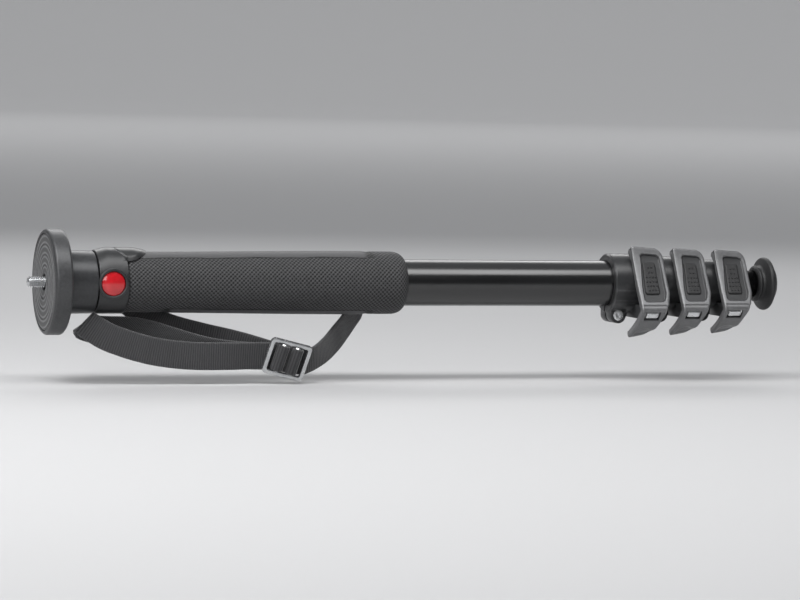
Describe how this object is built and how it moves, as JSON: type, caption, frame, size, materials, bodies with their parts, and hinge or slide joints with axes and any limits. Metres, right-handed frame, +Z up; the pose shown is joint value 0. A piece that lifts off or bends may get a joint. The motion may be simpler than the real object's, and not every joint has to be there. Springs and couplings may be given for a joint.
{
  "type": "camera monopod",
  "caption": "Closed telescoping camera monopod with a round camera plate and thread stud, mesh-textured grip, flip-lever tube locks, bell-shaped rubber foot and webbing wrist strap.",
  "frame": {"origin": "middle of the camera seat, where the camera screw leaves the plate", "axes": "+X from the camera seat to the foot along the tube axis, +Z up, -Y towards the lever faces"},
  "size_m": [0.4595, 0.0627, 0.0867],
  "materials": {
    "plate_grey": "dark grey satin paint",
    "neck_black": "satin black paint",
    "tube_black": "gloss black lacquer",
    "moulded_black": "satin",
    "lever_grey": "satin grey paint",
    "grip_rubber": "matt with a raised mesh",
    "rubber_black": "matt",
    "steel": "plain",
    "badge_red": "glossy dome",
    "webbing_black": "woven nylon",
    "buckle_metal": "polished",
    "bush_pale": "matt",
    "plug_black": "matt"
  },
  "bodies": {
    "upper": {"camera_screw": "steel", "top_plate": "plate_grey", "plate_pad": "rubber_black", "plate_screws": "steel", "head_neck": "neck_black", "stud_grub_screw": "steel", "grip_collar": "moulded_black", "red_badge": "badge_red", "strap_anchor_pin": "steel", "grip_sleeve": "grip_rubber", "section_1_tube": "tube_black", "lock_1_collar": "moulded_black", "lock_1_sleeve": "bush_pale", "lock_1_fixing_screw": "steel", "lock_1_fixing_nut": "steel", "lock_1_lever_pin": "steel", "lock_1_tension_screw": "steel", "lock_1_tension_nut": "steel", "strap_front": "webbing_black", "strap_rear": "webbing_black", "strap_return": "webbing_black", "strap_bar_wraps": "webbing_black", "buckle_frame": "buckle_metal", "buckle_bars": "buckle_metal"},
    "section_2": {"section_2_tube": "tube_black", "section_2_top_bush": "bush_pale", "lock_2_collar": "moulded_black", "lock_2_sleeve": "bush_pale", "lock_2_fixing_screw": "steel", "lock_2_fixing_nut": "steel", "lock_2_lever_pin": "steel", "lock_2_tension_screw": "steel", "lock_2_tension_nut": "steel"},
    "section_3": {"section_3_tube": "tube_black", "section_3_top_bush": "bush_pale", "lock_3_collar": "moulded_black", "lock_3_sleeve": "bush_pale", "lock_3_fixing_screw": "steel", "lock_3_fixing_nut": "steel", "lock_3_lever_pin": "steel", "lock_3_tension_screw": "steel", "lock_3_tension_nut": "steel"},
    "section_4": {"section_4_tube": "tube_black", "section_4_top_bush": "bush_pale", "foot_plug": "plug_black", "rubber_foot": "rubber_black"},
    "lever_1": {"lock_1_lever": "lever_grey", "lock_1_pad": "rubber_black", "lock_1_window_plate": "steel"},
    "lever_2": {"lock_2_lever": "lever_grey", "lock_2_pad": "rubber_black", "lock_2_window_plate": "steel"},
    "lever_3": {"lock_3_lever": "lever_grey", "lock_3_pad": "rubber_black", "lock_3_window_plate": "steel"}
  },
  "joints": [
    {"name": "section_2_slide", "type": "slide", "parent": "upper", "child": "section_2", "axis": [1, 0, 0], "range_m": [0, 0.28]},
    {"name": "section_3_slide", "type": "slide", "parent": "section_2", "child": "section_3", "axis": [1, 0, 0], "range_m": [0, 0.28]},
    {"name": "section_4_slide", "type": "slide", "parent": "section_3", "child": "section_4", "axis": [1, 0, 0], "range_m": [0, 0.28]},
    {"name": "lever_1_hinge", "type": "hinge", "parent": "upper", "child": "lever_1", "pos_m": [0.363, -0.0093, 0.0188], "axis": [-1, 0, 0], "range_deg": [0, 95]},
    {"name": "lever_2_hinge", "type": "hinge", "parent": "section_2", "child": "lever_2", "pos_m": [0.39, -0.00894, 0.01808], "axis": [-1, 0, 0], "range_deg": [0, 95]},
    {"name": "lever_3_hinge", "type": "hinge", "parent": "section_3", "child": "lever_3", "pos_m": [0.417, -0.00864, 0.01746], "axis": [-1, 0, 0], "range_deg": [0, 95]}
  ]
}
